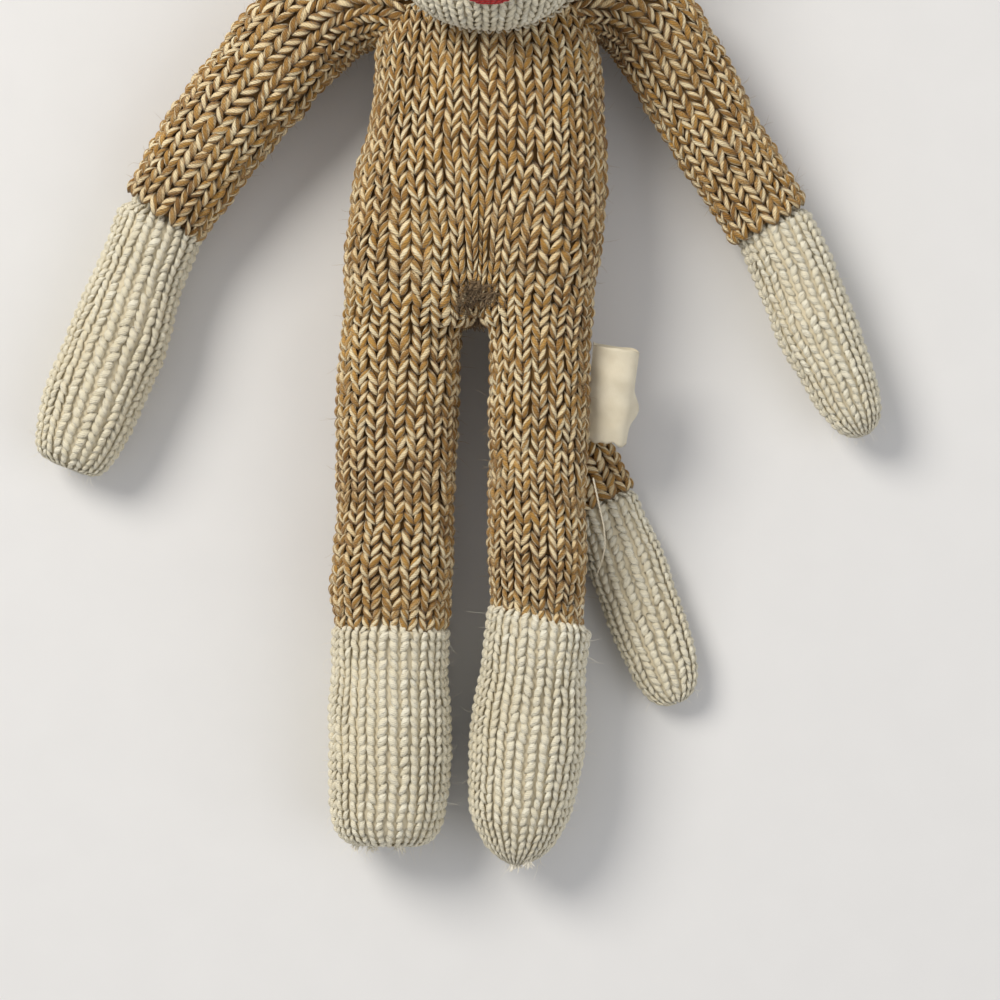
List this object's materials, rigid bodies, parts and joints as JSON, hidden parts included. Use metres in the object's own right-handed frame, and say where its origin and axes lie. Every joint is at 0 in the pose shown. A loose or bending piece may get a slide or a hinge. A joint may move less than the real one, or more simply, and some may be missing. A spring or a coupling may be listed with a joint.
{
  "type": "sock monkey doll",
  "caption": "Soft knitted monkey doll lying on its back, with a round head, a wide muzzle, long arms and legs, a jointed tail and a side label.",
  "frame": {"origin": "middle of the flat patch of the back that the doll lies on", "axes": "+Y towards the head, +Z out of the belly, +X to the viewer's right"},
  "size_m": [0.1686, 0.2224, 0.0529],
  "materials": {
    "marl": "brown and off-white two-ply knit",
    "cream": "plain cream knit",
    "stuffing": "white fibre filling",
    "red": "red felted knit",
    "black": "glossy domed button",
    "black_thread": "black embroidery thread",
    "thread": "sewing thread",
    "satin": "bare off-white satin ribbon"
  },
  "bodies": {
    "torso": {"torso_knit": "marl", "torso_stuffing": "stuffing", "neck_thread": "thread"},
    "neck": {"neck_stuffing": "stuffing"},
    "head": {"head_knit": "marl", "crown_knit": "cream", "head_stuffing": "stuffing", "muzzle_knit": "cream", "muzzle_stuffing": "stuffing", "lips": "red", "nostril_left": "black_thread", "nostril_right": "black_thread", "eye_left": "black", "eye_right": "black"},
    "ear_left": {"ear_left": "marl"},
    "ear_right": {"ear_right": "marl"},
    "arm_left": {"sleeve_left": "marl", "sleeve_stuffing_left": "stuffing"},
    "hand_left": {"mitt_left": "cream", "mitt_stuffing_left": "stuffing"},
    "leg_left": {"leg_left": "marl", "leg_stuffing_left": "stuffing"},
    "foot_left": {"foot_left": "cream", "foot_stuffing_left": "stuffing"},
    "arm_right": {"sleeve_right": "marl", "sleeve_stuffing_right": "stuffing"},
    "hand_right": {"mitt_right": "cream", "mitt_stuffing_right": "stuffing"},
    "leg_right": {"leg_right": "marl", "leg_stuffing_right": "stuffing"},
    "foot_right": {"foot_right": "cream", "foot_stuffing_right": "stuffing"},
    "tail": {"tail_knit": "marl", "tail_stuffing": "stuffing"},
    "tail_tip": {"tail_tip_knit": "cream", "tail_tip_stuffing": "stuffing"},
    "label": {"side_label": "satin"}
  },
  "joints": [
    {"name": "neck_nod", "type": "hinge", "parent": "torso", "child": "neck", "pos_m": [0, 0.0355, 0.014], "axis": [1, 0, 0], "range_deg": [-25, 2]},
    {"name": "neck_turn", "type": "hinge", "parent": "neck", "child": "head", "pos_m": [0, 0.0355, 0.014], "axis": [0, 0.9063, 0.4226], "range_deg": [-30, 30]},
    {"name": "shoulder_left", "type": "hinge", "parent": "torso", "child": "arm_left", "pos_m": [-0.03088, 0.0335, 0.014], "axis": [0, 1, 0], "range_deg": [-20, 75]},
    {"name": "wrist_left", "type": "hinge", "parent": "arm_left", "child": "hand_left", "pos_m": [-0.06623, -0.01324, 0.0092], "axis": [0, 0, 1], "range_deg": [-18, 18]},
    {"name": "shoulder_right", "type": "hinge", "parent": "torso", "child": "arm_right", "pos_m": [0.02965, 0.0335, 0.014], "axis": [0, -1, 0], "range_deg": [-20, 75]},
    {"name": "wrist_right", "type": "hinge", "parent": "arm_right", "child": "hand_right", "pos_m": [0.05832, -0.01366, 0.0092], "axis": [0, 0, 1], "range_deg": [-18, 18]},
    {"name": "hip_left", "type": "hinge", "parent": "torso", "child": "leg_left", "pos_m": [-0.018, -0.037, 0.016], "axis": [-1, 0, 0], "range_deg": [-10, 80]},
    {"name": "ankle_left", "type": "hinge", "parent": "leg_left", "child": "foot_left", "pos_m": [-0.01999, -0.09709, 0.013], "axis": [-1, 0, 0], "range_deg": [-18, 18]},
    {"name": "hip_right", "type": "hinge", "parent": "torso", "child": "leg_right", "pos_m": [0.0098, -0.036, 0.021], "axis": [-1, 0, 0], "range_deg": [-0.5, 80]},
    {"name": "ankle_right", "type": "hinge", "parent": "leg_right", "child": "foot_right", "pos_m": [0.00939, -0.09444, 0.0145], "axis": [-1, 0, 0], "range_deg": [-18, 18]},
    {"name": "tail_swing", "type": "hinge", "parent": "torso", "child": "tail", "pos_m": [0.006, -0.0335, 0.0046], "axis": [0, 0, 1], "range_deg": [-1, 38]},
    {"name": "tail_bend", "type": "hinge", "parent": "tail", "child": "tail_tip", "pos_m": [0.02364, -0.06828, 0.0046], "axis": [0, 0, 1], "range_deg": [-10, 25]},
    {"name": "ear_flex_left", "type": "hinge", "parent": "head", "child": "ear_left", "pos_m": [-0.02351, 0.06311, 0.02577], "axis": [0, 0.9063, 0.4226], "range_deg": [-25, 25], "stiffness_Nm_per_rad": 0.002},
    {"name": "ear_flex_right", "type": "hinge", "parent": "head", "child": "ear_right", "pos_m": [0.02351, 0.06311, 0.02577], "axis": [0, 0.9063, 0.4226], "range_deg": [-25, 25], "stiffness_Nm_per_rad": 0.002},
    {"name": "label_flap", "type": "hinge", "parent": "leg_right", "child": "label", "pos_m": [0.02049, -0.04395, 0.02012], "axis": [0.2079, -0.9781, 0], "range_deg": [-40, 40], "stiffness_Nm_per_rad": 0.0005}
  ]
}
